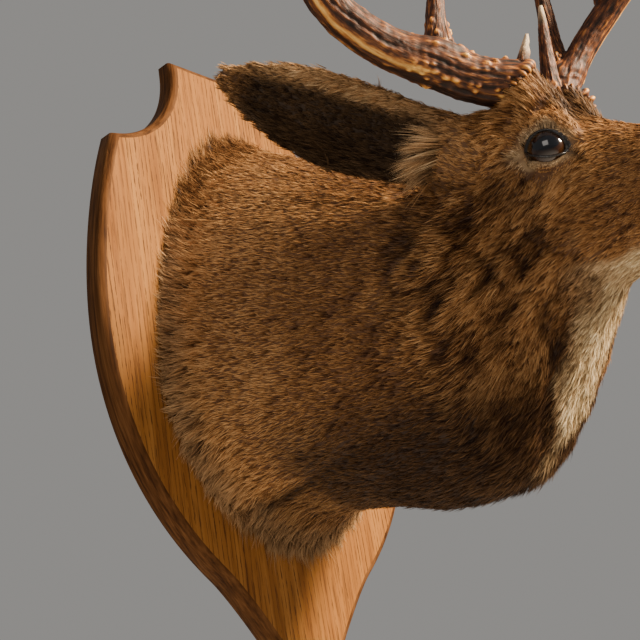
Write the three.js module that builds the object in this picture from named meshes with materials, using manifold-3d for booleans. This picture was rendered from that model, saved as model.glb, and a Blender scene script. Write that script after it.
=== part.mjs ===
// Deer shoulder mount: the head and neck of a white-tailed deer buck, looking straight out of a shield-shaped
// wall board. Millimetres, +Z up. y = 0 is the board's back, the animal stands out along -Y, its right side is
// at -X, and x = 0 is the plane of symmetry. Coat depth is included in the flesh pieces.
import * as THREE from "three";
import { mergeVertices } from "three/addons/utils/BufferGeometryUtils.js";
import Module from "manifold-3d";

const wasm = await Module();
wasm.setup();

const GAP = 0.3; // clearance between pieces that touch

// Board: half outline sizes, measured on the flat front face.
const BOARD = {
  thickness: 21.7,
  edgeRound: 8,
  edgeOverhang: 8.2, // how far the back outline stands outside the front face
  top: 312,
  topHalfWidth: 68.6,
  notchCentre: 173.5, // centre of each concave top corner, level with the top edge
  notchRadius: 104.9,
  hornEndAngle: 260, // degrees round the notch, where the horn starts down the side
  shoulder: [189.6, 24],
  waist: [91, -196],
  foot: -316,
};
const HANGER = { width: 64, height: 20, depth: 2.5, z: 205, slotWidth: 40, tooth: 5 };

// Neck: each row is distance out from the wall, top, bottom, half width and height of the widest place.
const NECK_ROWS = [
  [22, 244, -180, 141, -35],
  [60, 220, -164, 132, -32],
  [100, 194, -163, 122, -28],
  [150, 160, -172, 112, -25],
  [200, 129, -187, 104, -30],
  [250, 102, -190, 97, -38],
  [290, 86, -182, 88, -42],
  [322, 80, -156, 74, -42],
  [352, 70, -121, 60, -36],
  [378, 58, -86, 48, -26],
  [398, 45, -62, 36, -12],
];
const NECK_ROUNDNESS = 1.85; // exponent of the section's superellipse

// Head frame: its origin is between the eyes, f points to the nose, u up, and the nose drops by the pitch.
const HEAD = { y: -388, z: 47, pitch: 7 };
// Each row is f, top, bottom, half width and height of the widest place.
const HEAD_ROWS = [
  [-100, 10, -22, 28, -8],
  [-86, 27, -72, 50, -14],
  [-60, 41, -105, 58, -20],
  [-30, 48, -113, 59, -24],
  [0, 43, -110, 53, -18],
  [30, 29, -103, 48, -26],
  [60, 13, -98, 41, -40],
  [90, 1, -97, 34.5, -50],
  [120, -10, -96, 31.5, -56],
  [150, -19, -95, 30, -59],
  [175, -26, -93, 29, -60],
  [189, -35, -88, 25.5, -61],
  [196, -47, -76, 17.5, -62],
];
const HEAD_ROUNDNESS = 2.25;
const ORBIT = { f: -3, l: 45, u: 9, reach: [31, 16, 24] }; // brow swelling over each eye, along f, l, u
const TEMPLE = { centre: [46, -339, 78], reach: [26, 31, 27] }; // swelling the ear grows from, left side
const EYE = { l: 45.5, radius: 16.5 };
const NECK_PARTING = { top: [-288, 85], foot: [-320, -150] }; // y, z of the cut behind the jaw and the poll
const MUZZLE_F = 62;
const MOUTH_U = -74;
const CHIN = { f: 178, lean: 0.42 }; // the chin's front, leaning back below the lip
const NOSE_PAD = { reach: 112.4, slope: [0.8, 0.6] }; // f and u parts of the pad's rear plane

// Antler pedicles and burrs, right side. The left side is the mirror image with its own small differences.
const PEDICLE = { root: [-22, -381, 70], rootRadius: 29, endRadius: 20 };
const BURR = { centre: [-40, -371, 117], normal: [-0.63, 0.37, 0.68], radius: 22.5, height: 11 };
// The beam's centre line runs out and back from the burr, then sweeps forward to its tip.
const BEAM_POINTS = [
  [-40, -371, 117],
  [-60, -352, 124],
  [-85, -336, 137],
  [-115, -318, 151],
  [-142, -306, 167],
  [-165, -298, 189],
  [-188, -302, 223],
  [-205, -322, 262],
  [-212, -362, 296],
  [-205, -412, 318],
  [-185, -462, 330],
  [-155, -505, 340],
  [-125, -530, 352],
];
const BEAM_RADII = [20, 19.5, 19, 17, 16, 15.5, 15, 13.5, 13, 10.5, 8.5, 6, 2.2]; // one at each beam point
const FORKS = { brow: 2, second: 6, third: 8 }; // beam points that carry a tine
const TINES = {
  brow: { rise: [[0, 0, 0], [0, -3, 34], [4, -9, 72], [10, -18, 114]], radius: 11, tip: 2.2 },
  second: { rise: [[0, 0, 0], [-8, 6, 54], [-4, 2, 122], [13, -9, 198]], radius: 12.5, tip: 2.2 },
  third: { rise: [[0, 0, 0], [-6, 4, 46], [0, -3, 106], [16, -14, 166]], radius: 11, tip: 2.2 },
};
const SPUR = { foot: [-37, -377, 124], tip: [-30, -387, 159], radius: 7.5, tipRadius: 1.6 };
const LEFT_TINE_SCALE = 0.96; // the left tines are slightly shorter

// Ears: root inside the head, blunt tip out, back and up, cup open outwards, forwards and down. The middle line
// bows away from the opening and down across the ear.
const EAR = { root: [-50, -334, 64], tip: [-187, -190, 176], open: [-0.79, -0.44, -0.41], bow: [9, 8] };
// Each row is the share of the length, half width, back depth, inner hollow depth and rim thickness.
const EAR_ROWS = [
  [0, 30, 26, -22, 2],
  [0.14, 33, 28, -20, 3],
  [0.26, 35, 28, 2, 7],
  [0.4, 39, 27, 15, 8],
  [0.6, 40, 23, 13, 8],
  [0.8, 31, 16, 8, 7],
  [0.93, 19, 10, 3, 6],
  [1, 10, 6, -3, 3],
];

const X_AXIS = new THREE.Vector3(1, 0, 0);
const Y_AXIS = new THREE.Vector3(0, 1, 0);
const headMatrix = new THREE.Matrix4()
  .makeTranslation(0, HEAD.y, HEAD.z)
  .multiply(new THREE.Matrix4().makeRotationAxis(X_AXIS, THREE.MathUtils.degToRad(HEAD.pitch)));

const vector = (xyz) => new THREE.Vector3(...xyz);
const mirrored = ([x, y, z]) => [-x, y, z];
const headPoint = (f, l, u) => new THREE.Vector3(l, -f, u).applyMatrix4(headMatrix);

// The sizes at any place of a table whose rows start with the place.
function smoothly(rows) {
  const places = rows.map((row) => row[0]);
  const sizes = rows.flatMap((row) => row.slice(1));
  const curve = new THREE.CubicInterpolant(places, sizes, rows[0].length - 1);
  return (place) => [...curve.evaluate(place)];
}

// A closed solid of rings: point(along, angle, reach) gives each vertex, where along runs 0 to 1, angle is 0 at
// the section's top and a quarter turn at +X, and reach is 1 on the surface and 0 in the middle of an end.
function loft(rings, sides, point) {
  const geometry = new THREE.CylinderGeometry(1, 1, 1, sides, rings);
  const position = geometry.getAttribute("position");
  for (let i = 0; i < position.count; i++) {
    const x = position.getX(i);
    const z = position.getZ(i);
    const place = point(0.5 - position.getY(i), Math.atan2(x, z), Math.hypot(x, z));
    position.setXYZ(i, place.x, place.y, place.z);
  }
  return geometry;
}

// A three.js geometry as a manifold solid, and back.
function solid(geometry) {
  const bare = geometry.index ? geometry.toNonIndexed() : geometry;
  bare.deleteAttribute("normal");
  bare.deleteAttribute("uv");
  const merged = mergeVertices(bare, 1e-3);
  const vertProperties = merged.getAttribute("position").array;
  const triVerts = new Uint32Array(merged.index.array);
  return new wasm.Manifold(new wasm.Mesh({ numProp: 3, vertProperties, triVerts }));
}

function geometryOf(made) {
  const mesh = made.getMesh();
  const geometry = new THREE.BufferGeometry();
  geometry.setAttribute("position", new THREE.BufferAttribute(mesh.vertProperties, 3));
  geometry.setIndex(new THREE.BufferAttribute(mesh.triVerts, 1));
  geometry.computeVertexNormals();
  return geometry;
}

const signedPower = (value, power) => Math.sign(value) * Math.abs(value) ** power;

// One vertex of an egg-shaped upright section, as its sideways and upward place.
function eggPoint([top, bottom, halfWidth, widest], roundness, angle, reach, grow) {
  const across = signedPower(Math.sin(angle), 2 / roundness) * reach;
  const up = signedPower(Math.cos(angle), 2 / roundness) * reach;
  const height = up > 0 ? top - widest : widest - bottom;
  return [across * (halfWidth + grow), widest + up * (height + grow)];
}

function neckSolid(grow) {
  const sizes = smoothly(NECK_ROWS);
  const start = NECK_ROWS[0][0];
  const length = NECK_ROWS.at(-1)[0] - start;
  const geometry = loft(15, 28, (along, angle, reach) => {
    const out = start + along * length;
    const [x, z] = eggPoint(sizes(out), NECK_ROUNDNESS, angle, reach, grow);
    return new THREE.Vector3(x, -out, z);
  });
  return solid(geometry);
}

function skullSolid(grow) {
  const sizes = smoothly(HEAD_ROWS);
  const start = HEAD_ROWS[0][0];
  const length = HEAD_ROWS.at(-1)[0] - start;
  const geometry = loft(20, 22, (along, angle, reach) => {
    const f = start + along * length + grow * Math.sign(along - 0.5);
    const [l, u] = eggPoint(sizes(start + along * length), HEAD_ROUNDNESS, angle, reach, grow);
    return headPoint(f, l, u);
  });
  return solid(geometry);
}

function orbitSolid(side, grow) {
  const [alongF, alongL, alongU] = ORBIT.reach.map((size) => size + grow);
  const geometry = new THREE.SphereGeometry(1, 14, 8)
    .scale(alongL, alongF, alongU)
    .translate(side * ORBIT.l, -ORBIT.f, ORBIT.u)
    .applyMatrix4(headMatrix);
  return solid(geometry);
}

function templeSolid(side, grow) {
  const [x, y, z] = TEMPLE.centre;
  const geometry = new THREE.SphereGeometry(1, 12, 8)
    .scale(...TEMPLE.reach.map((size) => size + grow))
    .translate(side * x, y, z);
  return solid(geometry);
}

// A round tube whose radius changes along a curve.
function taperedTube(curve, radiusAt, rings, sides) {
  const frames = curve.computeFrenetFrames(rings);
  const geometry = loft(rings, sides, (along, angle, reach) => {
    const ring = Math.round(along * rings);
    const across = frames.normals[ring].clone().multiplyScalar(Math.sin(angle));
    const up = frames.binormals[ring].clone().multiplyScalar(Math.cos(angle));
    return curve.getPointAt(along).addScaledVector(across.add(up), reach * radiusAt(along));
  });
  return solid(geometry);
}

function pedicleSolid(side, grow) {
  const [root, end] = [PEDICLE.root, BURR.centre].map((p) => vector(side < 0 ? p : mirrored(p)));
  const radius = (t) => THREE.MathUtils.lerp(PEDICLE.rootRadius, PEDICLE.endRadius, t) + grow;
  return taperedTube(new THREE.LineCurve3(root, end), radius, 2, 12);
}

// The whole haired body with every surface moved out by grow.
function bodySolid(grow) {
  return [neckSolid, skullSolid]
    .map((make) => make(grow))
    .concat([-1, 1].flatMap((side) => [orbitSolid, templeSolid, pedicleSolid].map((make) => make(side, grow))))
    .reduce((joined, piece) => joined.add(piece));
}

// Both sides of a plane through point, each kept half a gap off it; the first piece lies along the normal.
function part(made, normal, point) {
  const away = normal.clone().normalize();
  const offset = away.dot(point);
  const front = made.trimByPlane(away.toArray(), offset + GAP / 2);
  const back = made.trimByPlane(away.clone().negate().toArray(), -offset + GAP / 2);
  return [front, back];
}

const headDirection = (f, u) => headPoint(f, 0, u).sub(headPoint(0, 0, 0));

function fleshPieces() {
  const sockets = [-1, 1].map((side) =>
    solid(new THREE.SphereGeometry(EYE.radius + GAP, 14, 10).translate(...headPoint(0, side * EYE.l, 0))),
  );
  const body = sockets.reduce((rest, socket) => rest.subtract(socket), bodySolid(0));
  const [topY, topZ] = NECK_PARTING.top;
  const [footY, footZ] = NECK_PARTING.foot;
  const behind = new THREE.Vector3(0, topZ - footZ, footY - topY);
  const [neck, front] = part(body, behind, new THREE.Vector3(0, topY, topZ));
  const [snout, head] = part(front, headDirection(1, 0), headPoint(MUZZLE_F, 0, 0));
  const [upper, jaw] = part(snout, headDirection(0, 1), headPoint(0, 0, MOUTH_U));
  const [, lowerJaw] = part(jaw, headDirection(1, -CHIN.lean), headPoint(CHIN.f, 0, MOUTH_U));
  const [slopeF, slopeU] = NOSE_PAD.slope;
  const onPad = headPoint(NOSE_PAD.reach * slopeF, 0, NOSE_PAD.reach * slopeU);
  const [nosePad, muzzle] = part(upper, headDirection(slopeF, slopeU), onPad);
  return { neck, head, muzzle, lower_jaw: lowerJaw, nose_pad: nosePad };
}

// One ear: a cup of crescent sections that is solid at its root and at its blunt tip.
function earSolid(side) {
  const place = (p) => vector(side < 0 ? p : mirrored(p));
  const root = place(EAR.root);
  const tip = place(EAR.tip);
  const axis = tip.clone().sub(root);
  const open = place(EAR.open).projectOnPlane(axis.clone().normalize()).normalize();
  const across = new THREE.Vector3().crossVectors(open, axis).normalize();
  const sizes = smoothly(EAR_ROWS);
  const geometry = loft(13, 16, (along, angle, reach) => {
    const [halfWidth, depth, hollow, rim] = sizes(along);
    const inner = Math.cos(angle) > 1e-6;
    const [width, bulge] = inner ? [halfWidth - rim, hollow] : [halfWidth, depth];
    const turn = inner ? Math.cos(angle) : -Math.cos(angle);
    const middle = reach ? 0 : -0.4 * depth;
    const [bowBack, bowAcross] = EAR.bow.map((most) => most * Math.sin(Math.PI * along));
    return root
      .clone()
      .addScaledVector(axis, along)
      .addScaledVector(across, reach * width * Math.sin(angle) + bowAcross * -side)
      .addScaledVector(open, middle - reach * bulge * turn - bowBack);
  });
  return solid(geometry);
}

function beamCurve(side) {
  return new THREE.CatmullRomCurve3(BEAM_POINTS.map((p) => vector(side < 0 ? p : mirrored(p))));
}

const beamShare = (index) => index / (BEAM_POINTS.length - 1);

function beamSolid(side, grow) {
  const curve = beamCurve(side);
  curve.arcLengthDivisions = 600;
  const radii = smoothly(BEAM_RADII.map((radius, index) => [beamShare(index), radius]));
  const radiusAt = (along) => radii(curve.getUtoTmapping(along))[0] + grow;
  return taperedTube(curve, radiusAt, 24, 9);
}

function tineSolid(side, name) {
  const { rise, radius, tip } = TINES[name];
  const foot = BEAM_POINTS[FORKS[name]];
  const scale = side < 0 ? 1 : LEFT_TINE_SCALE;
  const points = rise.map(([x, y, z]) => [foot[0] + x * scale, foot[1] + y * scale, foot[2] + z * scale]);
  const curve = new THREE.CatmullRomCurve3(points.map((p) => vector(side < 0 ? p : mirrored(p))));
  const radiusAt = (along) => tip + (radius - tip) * (1 - along) ** 0.75 + 6 * Math.exp(-along * 14);
  const tine = taperedTube(curve, radiusAt, 8, 7);
  return tine.subtract(beamSolid(side, GAP));
}

function burrSolid(side) {
  const half = BURR.height / 2;
  const rim = BURR.radius;
  const profile = [[0, -half], [rim - 4, -half], [rim - 1, -half / 2], [rim, 0]];
  const upper = [[rim - 1, half / 2], [rim - 3.5, half], [0, half]];
  const points = profile.concat(upper).map(([x, y]) => new THREE.Vector2(x, y));
  const normal = vector(side < 0 ? BURR.normal : mirrored(BURR.normal)).normalize();
  const centre = vector(side < 0 ? BURR.centre : mirrored(BURR.centre));
  const geometry = new THREE.LatheGeometry(points, 13)
    .applyQuaternion(new THREE.Quaternion().setFromUnitVectors(Y_AXIS, normal))
    .translate(...centre);
  return solid(geometry);
}

function spurSolid() {
  const curve = new THREE.LineCurve3(vector(SPUR.foot), vector(SPUR.tip));
  return taperedTube(curve, (t) => THREE.MathUtils.lerp(SPUR.radius, SPUR.tipRadius, t), 2, 8);
}

// One antler, split across the beam at its forks, its foot cut to the haired pedicle.
function antlerPieces(side, body) {
  const curve = beamCurve(side);
  const cut = (beam, name) => {
    const share = beamShare(FORKS[name]);
    return part(beam, curve.getTangent(share), curve.getPoint(share));
  };
  const [pastBrow, foot] = cut(beamSolid(side, 0), "brow");
  const [pastSecond, beamLower] = cut(pastBrow, "second");
  const [beamTip, beamMiddle] = cut(pastSecond, "third");
  const base = foot.add(burrSolid(side));
  return {
    base: (side < 0 ? base.add(spurSolid()) : base).subtract(body),
    brow_tine: tineSolid(side, "brow"),
    beam_lower: beamLower,
    second_tine: tineSolid(side, "second"),
    beam_middle: beamMiddle,
    third_tine: tineSolid(side, "third"),
    beam_tip: beamTip,
  };
}

function boardShape() {
  const b = BOARD;
  const shape = new THREE.Shape();
  const hornAngle = THREE.MathUtils.degToRad(b.hornEndAngle);
  const hornX = b.notchCentre + b.notchRadius * Math.cos(hornAngle);
  const hornZ = b.top + b.notchRadius * Math.sin(hornAngle);
  const [shoulderX, shoulderZ] = b.shoulder;
  const [waistX, waistZ] = b.waist;
  shape.moveTo(-b.topHalfWidth, b.top);
  shape.absarc(-b.notchCentre, b.top, b.notchRadius, 0, Math.PI - hornAngle, true);
  shape.bezierCurveTo(-hornX - 19, hornZ - 52, -shoulderX, shoulderZ + 62, -shoulderX, shoulderZ);
  shape.bezierCurveTo(-shoulderX, -80, -145, -150, -waistX, waistZ);
  shape.bezierCurveTo(-68.5, -215.8, -22.5, -277, 0, b.foot);
  shape.bezierCurveTo(22.5, -277, 68.5, -215.8, waistX, waistZ);
  shape.bezierCurveTo(145, -150, shoulderX, -80, shoulderX, shoulderZ);
  shape.bezierCurveTo(shoulderX, shoulderZ + 62, hornX + 19, hornZ - 52, hornX, hornZ);
  shape.absarc(b.notchCentre, b.top, b.notchRadius, hornAngle, Math.PI, true);
  return shape;
}

// Turns a flat outline in x, y into a slab in x, z that stands from depth 0 out along -Y.
const standUp = (geometry) => geometry.rotateX(Math.PI / 2);

function boardSolid() {
  const extrusion = {
    depth: BOARD.thickness - BOARD.edgeRound,
    bevelThickness: BOARD.edgeRound,
    bevelSize: BOARD.edgeOverhang,
    bevelSegments: 2,
    curveSegments: 8,
  };
  const slab = solid(standUp(new THREE.ExtrudeGeometry(boardShape(), extrusion)));
  const pocket = new THREE.BoxGeometry(HANGER.width + 2 * GAP, 2 * (HANGER.depth + GAP), HANGER.height + 2 * GAP);
  return slab.trimByPlane([0, -1, 0], 0).subtract(solid(pocket.translate(0, 0, HANGER.z)));
}

// A flush steel plate in the board's back, with a toothed slot for the wall screw.
function hangerGeometry() {
  const [halfWidth, halfHeight, halfSlot] = [HANGER.width / 2, HANGER.height / 2, HANGER.slotWidth / 2];
  const plate = new THREE.Shape();
  plate.moveTo(-halfWidth, -halfHeight);
  plate.lineTo(halfWidth, -halfHeight);
  plate.lineTo(halfWidth, halfHeight);
  plate.lineTo(-halfWidth, halfHeight);
  const slot = new THREE.Path();
  slot.moveTo(halfSlot, -3);
  slot.lineTo(-halfSlot, -3);
  for (let x = -halfSlot; x < halfSlot; x += HANGER.tooth) {
    slot.lineTo(x, 2);
    slot.lineTo(x + HANGER.tooth / 2, 4);
  }
  slot.lineTo(halfSlot, 2);
  plate.holes.push(slot);
  const options = { depth: HANGER.depth, bevelEnabled: false };
  return standUp(new THREE.ExtrudeGeometry(plate, options)).translate(0, 0, HANGER.z);
}

const material = (color, roughness, metalness = 0) =>
  new THREE.MeshStandardMaterial({ color, roughness, metalness });
const oak = material(0xb98a52, 0.45);
const coat = material(0x6f4a2c, 0.95);
const paleCoat = material(0xcdb593, 0.95);
const noseLeather = material(0x17120f, 0.3);
const eyeGlass = material(0x120b07, 0.05);
const antlerBone = material(0x6b4630, 0.55);
const steel = material(0x8f9294, 0.35, 1);

const mount = new THREE.Group();
mount.name = "deer_shoulder_mount";

function place(parent, name, geometry, look, at = [0, 0, 0]) {
  const mesh = new THREE.Mesh(geometry, look);
  mesh.name = name;
  mesh.position.set(...at);
  parent.add(mesh);
}

place(mount, "shield_board", geometryOf(boardSolid()), oak);
place(mount, "hanger_plate", hangerGeometry(), steel);

const animal = new THREE.Group();
mount.add(animal);
const flesh = fleshPieces();
const fleshLooks = { neck: coat, head: coat, muzzle: coat, lower_jaw: paleCoat, nose_pad: noseLeather };
for (const [name, made] of Object.entries(flesh)) place(animal, name, geometryOf(made), fleshLooks[name]);

const grownBody = bodySolid(GAP);
for (const [sideName, side] of [["right", -1], ["left", 1]]) {
  const eye = new THREE.SphereGeometry(EYE.radius, 14, 10);
  place(animal, `eye_${sideName}`, eye, eyeGlass, headPoint(0, side * EYE.l, 0));
  place(animal, `ear_${sideName}`, geometryOf(earSolid(side).subtract(grownBody)), coat);
  for (const [name, made] of Object.entries(antlerPieces(side, grownBody)))
    place(animal, `antler_${sideName}_${name}`, geometryOf(made), antlerBone);
}

export default mount;
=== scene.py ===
# Deer shoulder mount: a white-tailed buck's head and neck on a shield-shaped wall board, life size.
# Metres, +Z up, the board's back at y = 0 and the animal looking along -Y, its right side at -X.
import math

import bmesh
import bpy
import numpy as np
from mathutils import Matrix, Vector
from mathutils.bvhtree import BVHTree


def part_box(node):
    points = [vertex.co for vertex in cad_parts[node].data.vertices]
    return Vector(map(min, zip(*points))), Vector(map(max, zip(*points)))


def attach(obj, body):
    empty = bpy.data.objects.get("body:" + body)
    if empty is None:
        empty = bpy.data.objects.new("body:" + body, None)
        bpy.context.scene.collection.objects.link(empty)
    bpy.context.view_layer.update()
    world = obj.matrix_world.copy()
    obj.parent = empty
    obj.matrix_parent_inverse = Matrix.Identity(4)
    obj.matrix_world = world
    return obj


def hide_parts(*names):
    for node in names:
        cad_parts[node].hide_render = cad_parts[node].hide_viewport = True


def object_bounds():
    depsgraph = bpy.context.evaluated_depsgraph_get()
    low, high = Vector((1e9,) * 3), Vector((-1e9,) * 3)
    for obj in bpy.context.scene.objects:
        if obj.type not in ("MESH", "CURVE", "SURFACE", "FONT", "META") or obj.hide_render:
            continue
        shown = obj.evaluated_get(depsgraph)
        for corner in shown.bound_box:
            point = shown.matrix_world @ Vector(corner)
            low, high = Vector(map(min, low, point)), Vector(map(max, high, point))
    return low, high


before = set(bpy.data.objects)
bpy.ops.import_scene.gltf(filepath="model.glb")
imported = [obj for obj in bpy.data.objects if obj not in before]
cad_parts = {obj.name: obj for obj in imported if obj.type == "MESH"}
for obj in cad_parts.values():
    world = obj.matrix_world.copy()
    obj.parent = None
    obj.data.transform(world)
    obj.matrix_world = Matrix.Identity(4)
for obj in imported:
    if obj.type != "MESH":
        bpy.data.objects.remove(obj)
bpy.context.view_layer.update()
scene = bpy.context.scene

# ---------------------------------------------------------------------------------------------------------
# Camera: close on the animal's right side, below its jaw and looking up past the neck to the shield board.
# It has the yaw, upward pitch and slight roll of a hand-held view of the mount.
# ---------------------------------------------------------------------------------------------------------
camera_place = Vector((-0.8081, -0.7845, -0.3487))
camera_yaw, camera_pitch, camera_roll = (math.radians(a) for a in (49.429, 19.243, -9.839))
ahead = Vector((math.sin(camera_yaw) * math.cos(camera_pitch),
                math.cos(camera_yaw) * math.cos(camera_pitch), math.sin(camera_pitch)))
level_right = Vector((math.cos(camera_yaw), -math.sin(camera_yaw), 0))
level_up = level_right.cross(ahead)
right = math.cos(camera_roll) * level_right + math.sin(camera_roll) * level_up
up = right.cross(ahead)
camera_data = bpy.data.cameras.new("camera")
camera_data.lens = 67.5
camera_data.sensor_width = 36
camera = bpy.data.objects.new("camera", camera_data)
camera.matrix_world = Matrix.Translation(camera_place) @ Matrix((right, up, -ahead)).transposed().to_4x4()
scene.collection.objects.link(camera)
scene.camera = camera

# ---------------------------------------------------------------------------------------------------------
# Shield board: a flat panel faced with honey oak whose grain runs straight down, sawn to a shield outline
# with two hollow top corners. Its rounded edge is stained walnut brown under a satin varnish.
# ---------------------------------------------------------------------------------------------------------
board_thickness = 0.0217
edge_round, edge_overhang, back_arris = 0.008, 0.0082, 0.0010
board_top, board_foot = 0.312, -0.316
notch_centre, notch_radius, horn_end = 0.1735, 0.1049, math.radians(260)
shoulder, waist = (0.1896, 0.024), (0.091, -0.196)
back_inset = 0.0004       # the hanger plate stands proud of the back by this
sharpest = 1.6            # keeps the offset of the outline from running away at a sharp corner
flat_face = 0.999         # faces that look forwards or back by this much are shaded flat
ring_gap = 0.0052         # between growth rings, across the grain


def new_object(name, mesh):
    made = bpy.data.objects.new(name, mesh)
    scene.collection.objects.link(made)
    return made


def bezier(start, first, second, end, steps):
    """Points along a cubic Bezier curve, without its start."""
    t = np.linspace(0, 1, steps + 1)[1:, None]
    start, first, second, end = (np.array(p) for p in (start, first, second, end))
    return start * (1 - t) ** 3 + 3 * first * t * (1 - t) ** 2 + 3 * second * t * t * (1 - t) + end * t ** 3


def board_outline():
    """The front face's outline in x and z, from the middle of the top down the left side and back."""
    turn = np.linspace(math.pi, horn_end, 28)[:, None]
    notch = np.array([notch_centre, board_top]) + notch_radius * np.hstack([np.cos(turn), np.sin(turn)])
    horn = notch[-1]
    flank = bezier(horn, horn + (0.019, -0.052), (shoulder[0], shoulder[1] + 0.062), shoulder, 16)
    belly = bezier(shoulder, (shoulder[0], -0.080), (0.145, -0.150), waist, 24)
    point = bezier(waist, (0.0685, -0.2158), (0.0225, -0.277), (0, board_foot), 16)
    half = np.concatenate([notch, flank, belly, point])
    return np.concatenate([half, half[-2::-1] * (-1, 1)])


def outset(outline, by):
    """The outline moved outwards, its corners kept sharp."""
    before = np.roll(outline, 1, axis=0)
    after = np.roll(outline, -1, axis=0)
    normals = []
    for edge in (outline - before, after - outline):
        edge = edge / np.linalg.norm(edge, axis=1, keepdims=True)
        normals.append(np.column_stack([-edge[:, 1], edge[:, 0]]))
    middle = normals[0] + normals[1]
    return outline + by * 2 * middle / np.maximum(np.sum(middle * middle, axis=1, keepdims=True), sharpest)


board_form = bmesh.new()
rim = board_form.verts.layers.float.new("rim")
outline = board_outline()
profile = [(math.sin(a) * edge_overhang, -board_thickness + edge_round * (1 - math.cos(a)))
           for a in np.linspace(0, math.pi / 2, 7)]
profile += [(edge_overhang, -1.1 * back_arris - back_inset), (edge_overhang - back_arris, -back_inset)]
rings = []
for share, (out, depth) in enumerate(profile):
    ring = [board_form.verts.new((x, depth, z)) for x, z in outset(outline, out)]
    for vertex in ring:
        vertex[rim] = min(share, 1)
    rings.append([board_form.edges.new((a, b)) for a, b in zip(ring, ring[1:] + ring[:1])])
for inner, outer in zip(rings, rings[1:]):
    bmesh.ops.bridge_loops(board_form, edges=inner + outer)
for ring in (rings[0], rings[-1]):
    bmesh.ops.triangle_fill(board_form, edges=ring, use_beauty=True)
bmesh.ops.recalc_face_normals(board_form, faces=board_form.faces)
for face in board_form.faces:
    face.smooth = abs(face.normal.y) < flat_face
board_mesh = bpy.data.meshes.new("board")
board_form.to_mesh(board_mesh)
board_form.free()
board = new_object("board", board_mesh)
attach(board, "root")
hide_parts("shield_board")


def node_material(name):
    made = bpy.data.materials.new(name)
    made.use_nodes = True
    return made, made.node_tree, made.node_tree.nodes["Principled BSDF"]


def feed(tree, node, values):
    """Sets or links a node's inputs, given by name or number."""
    for key, value in values.items():
        if isinstance(value, bpy.types.NodeSocket):
            tree.links.new(value, node.inputs[key])
        else:
            node.inputs[key].default_value = value


def add(tree, kind, values=None, **settings):
    """A new node with its properties and inputs set."""
    node = tree.nodes.new(kind)
    for key, value in settings.items():
        setattr(node, key, value)
    feed(tree, node, values or {})
    return node


def sums(tree, operation, *values):
    return add(tree, "ShaderNodeMath", dict(enumerate(values)), operation=operation).outputs[0]


def mixed(tree, factor, low, high):
    """A colour between two, each a socket or a colour."""
    return add(tree, "ShaderNodeMix", {0: factor, 6: low, 7: high}, data_type="RGBA").outputs[2]


def gradient(tree, value, stops):
    """A colour ramp through (place, colour) stops."""
    node = add(tree, "ShaderNodeValToRGB", {0: value})
    elements = node.color_ramp.elements
    while len(elements) < len(stops):
        elements.new(0.5)
    for element, (place, colour) in zip(elements, stops):
        element.position, element.color = place, (*colour, 1)
    return node.outputs[0]


def remapped(tree, value, low, high, to_low, to_high):
    """Low to high of a value brought to another range."""
    ends = {"Value": value, "From Min": low, "From Max": high, "To Min": to_low, "To Max": to_high}
    return add(tree, "ShaderNodeMapRange", ends).outputs[0]


def stretched(tree, vector, scale):
    return add(tree, "ShaderNodeMapping", {"Vector": vector, "Scale": scale}).outputs[0]


def object_place(tree, scale=(1, 1, 1)):
    return stretched(tree, add(tree, "ShaderNodeTexCoord").outputs["Object"], scale)


def noise(tree, vector, scale, detail=3.0, rough=0.5):
    values = {"Vector": vector, "Scale": scale, "Detail": detail, "Roughness": rough}
    return add(tree, "ShaderNodeTexNoise", values).outputs[0]


def attribute(tree, name):
    return add(tree, "ShaderNodeAttribute", attribute_name=name).outputs


def channels_of(tree, name):
    return add(tree, "ShaderNodeSeparateColor", {0: attribute(tree, name)["Color"]}).outputs


def bumped(tree, height, strength, distance, below=None):
    values = {"Height": height, "Strength": strength, "Distance": distance}
    if below:
        values["Normal"] = below
    return add(tree, "ShaderNodeBump", values).outputs[0]


oak, tree, shader = node_material("board_oak")
sway = noise(tree, object_place(tree, (9, 9, 4)), 1.0, 2.0)
drift = add(tree, "ShaderNodeVectorMath", {0: sway, 1: (0.006, 0, 0), 2: object_place(tree)},
            operation="MULTIPLY_ADD").outputs[0]
grain = stretched(tree, drift, (1, 1, 0.035))
bands = noise(tree, grain, 95, 4.0, 0.6)
figure = gradient(tree, bands, [(0.30, (0.158, 0.058, 0.014)), (0.47, (0.235, 0.095, 0.023)),
                                (0.60, (0.280, 0.120, 0.030)), (0.75, (0.312, 0.142, 0.038))])

# Pores: fine dark dashes along the grain.
pore_lines = noise(tree, stretched(tree, drift, (1, 1, 0.05)), 330, 2.0, 0.6)
pore_marks = sums(tree, "MULTIPLY_ADD", noise(tree, grain, 900, 1.0), 0.22, pore_lines)
pores = gradient(tree, pore_marks, [(0.66, (0, 0, 0)), (0.76, (1, 1, 1))])
face = mixed(tree, sums(tree, "MULTIPLY", pores, 0.45), figure, (0.060, 0.022, 0.008, 1))

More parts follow.
